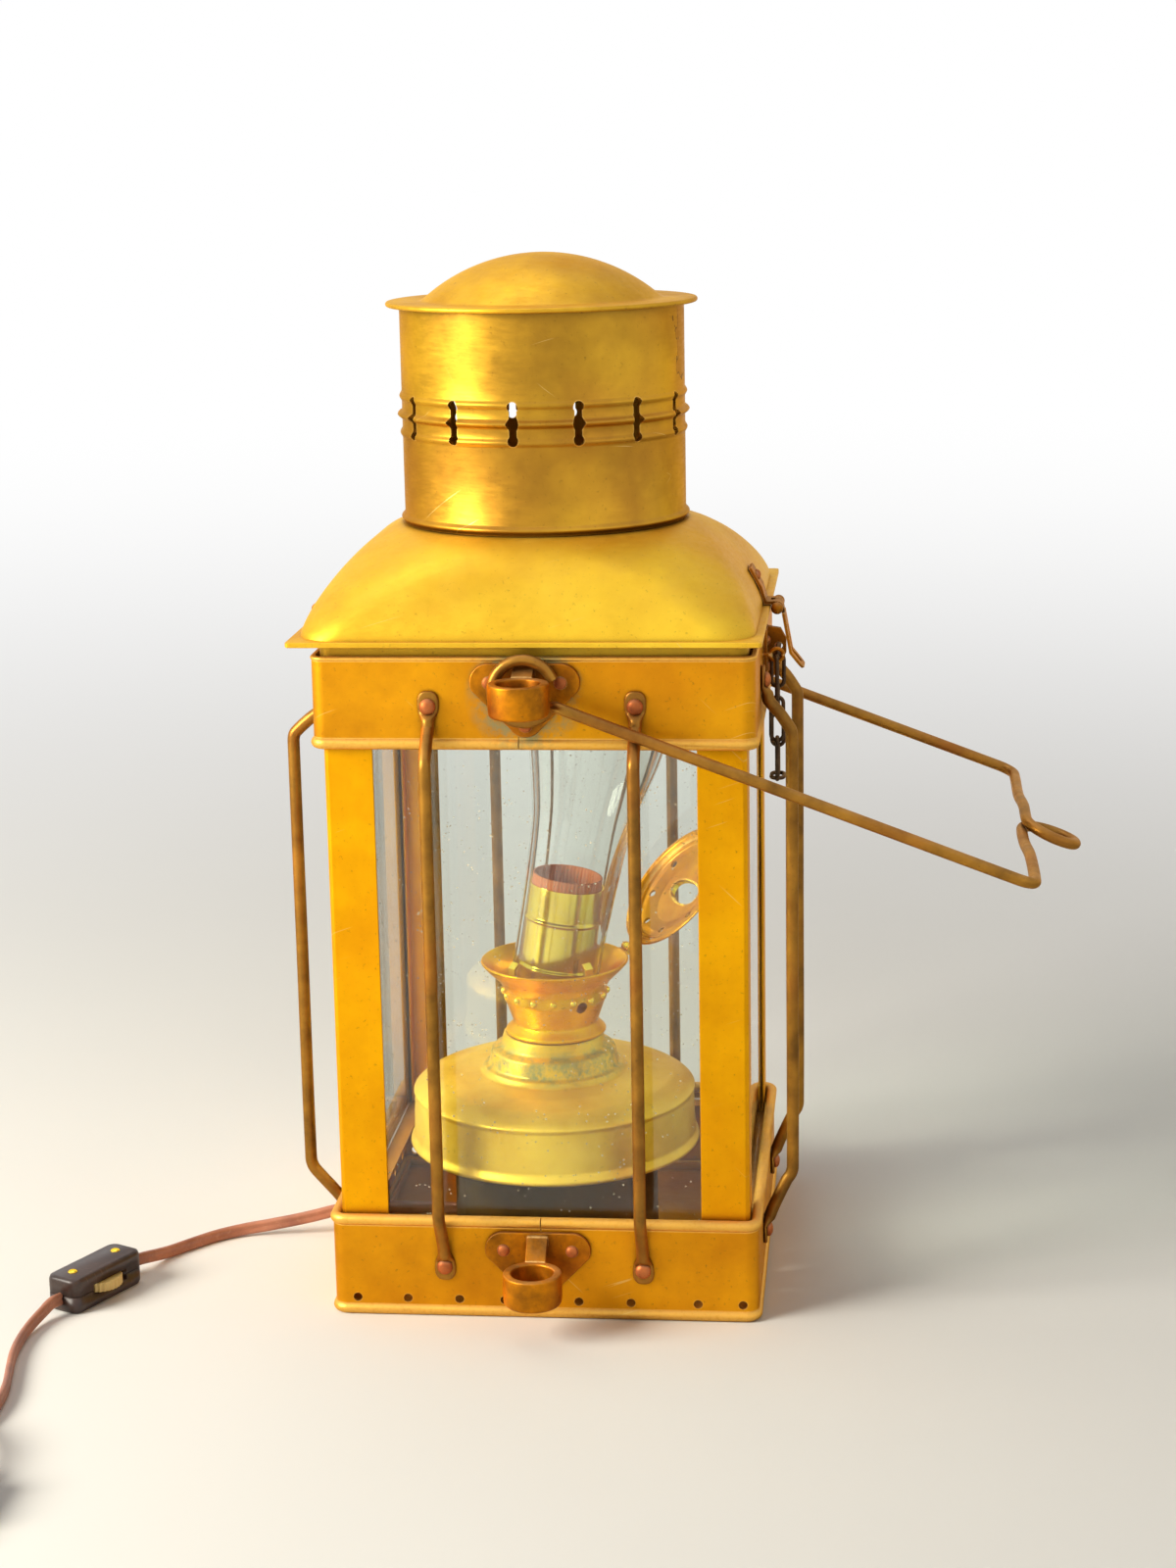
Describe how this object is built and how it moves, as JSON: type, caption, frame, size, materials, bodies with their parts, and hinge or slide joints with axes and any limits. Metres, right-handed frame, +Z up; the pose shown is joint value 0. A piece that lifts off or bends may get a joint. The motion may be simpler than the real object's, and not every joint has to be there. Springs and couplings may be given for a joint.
{
  "type": "ship lantern",
  "caption": "Square brass ship lantern with glass panes, guard rods, a hinged domed roof with a vent drum, a wire bail and an oil lamp refitted with an electric socket and cord.",
  "frame": {"origin": "centre of the house's footprint on the floor, at the underside of the base pan", "axes": "+Z up, -Y out of the face with the two peg sockets, +X towards the hasp and the resting bail"},
  "size_m": [0.4826, 0.3836, 0.4034],
  "materials": {
    "brass": "aged, satin, scratched and tarnished",
    "rod_brass": "brown tarnished rod, satin",
    "bright_brass": "brighter, worn sheet",
    "copper": "copper toned, dull",
    "iron": "dark tarnished wire",
    "glass": "clear, dusty, greenish edge",
    "card": "insulating card, matte",
    "lead_sheath": "brown lead sheath, satin",
    "brown_plastic": "moulded, dark brown",
    "wheel_plastic": "moulded, light yellow"
  },
  "bodies": {
    "house": {"base_pan": "brass", "lower_band": "brass", "glass_ledge": "brass", "post_front_left": "brass", "post_front_right": "brass", "post_back_right": "brass", "post_back_left": "brass", "glass_front": "glass", "glass_right": "glass", "glass_back": "glass", "glass_left": "glass", "upper_band": "brass", "guard_front_first": "rod_brass", "guard_front_second": "rod_brass", "guard_right_first": "rod_brass", "guard_right_second": "rod_brass", "guard_back_first": "rod_brass", "guard_back_second": "rod_brass", "guard_left_first": "rod_brass", "guard_left_second": "rod_brass", "upper_socket_bracket": "brass", "lower_socket_bracket": "brass", "rear_bail_bracket": "brass", "hasp_staple": "brass", "chain_eye": "copper", "hinge_leaf": "brass", "hinge_pin": "brass", "font_foot": "brass", "font": "brass", "burner": "bright_brass", "chimney": "glass", "socket_shell": "bright_brass", "socket_liner": "card", "socket_sleeve": "bright_brass", "socket_contact": "copper", "cord_grommet": "brown_plastic", "inner_lead": "lead_sheath", "cord_lead": "lead_sheath", "cord_switch": "brown_plastic", "cord_tail": "lead_sheath", "cord_coil": "lead_sheath", "cord_tie": "brown_plastic", "plug_body": "brown_plastic", "plug_blade_left": "bright_brass", "plug_blade_right": "bright_brass"},
    "roof": {"roof_hood": "bright_brass", "vent_drum": "brass", "vent_cap": "brass", "hinge_strap": "brass", "hasp_strap": "brass", "hasp_pin": "brass"},
    "hasp_leaf": {"hasp_leaf": "brass"},
    "bail": {"bail": "rod_brass"},
    "pin_chain": {"pin_chain": "iron"},
    "burner_crown": {"burner_crown": "brass"},
    "switch_wheel": {"switch_wheel": "wheel_plastic"}
  },
  "joints": [
    {"name": "roof_hinge", "type": "hinge", "parent": "house", "child": "roof", "pos_m": [-0.0934, 0, 0.2661], "axis": [0, -1, 0], "range_deg": [0, 100]},
    {"name": "hasp", "type": "hinge", "parent": "roof", "child": "hasp_leaf", "pos_m": [0.088, 0, 0.2661], "axis": [0, -1, 0], "range_deg": [0, 120]},
    {"name": "bail_swing", "type": "hinge", "parent": "house", "child": "bail", "pos_m": [-0.0022, 0, 0.24877], "axis": [0, -1, 0], "range_deg": [0, 222]},
    {"name": "chain_swing", "type": "hinge", "parent": "house", "child": "pin_chain", "pos_m": [0.0883, -0.0115, 0.2498], "axis": [0, -1, 0], "range_deg": [0, 80]},
    {"name": "crown_hinge", "type": "hinge", "parent": "house", "child": "burner_crown", "pos_m": [0.02589, 0.0151, 0.1213], "axis": [0.4633, -0.8862, 0], "range_deg": [0, 27]},
    {"name": "wheel_spin", "type": "hinge", "parent": "house", "child": "switch_wheel", "pos_m": [-0.17935, -0.07208, 0.00725], "axis": [0, 0, 1], "continuous": true}
  ]
}
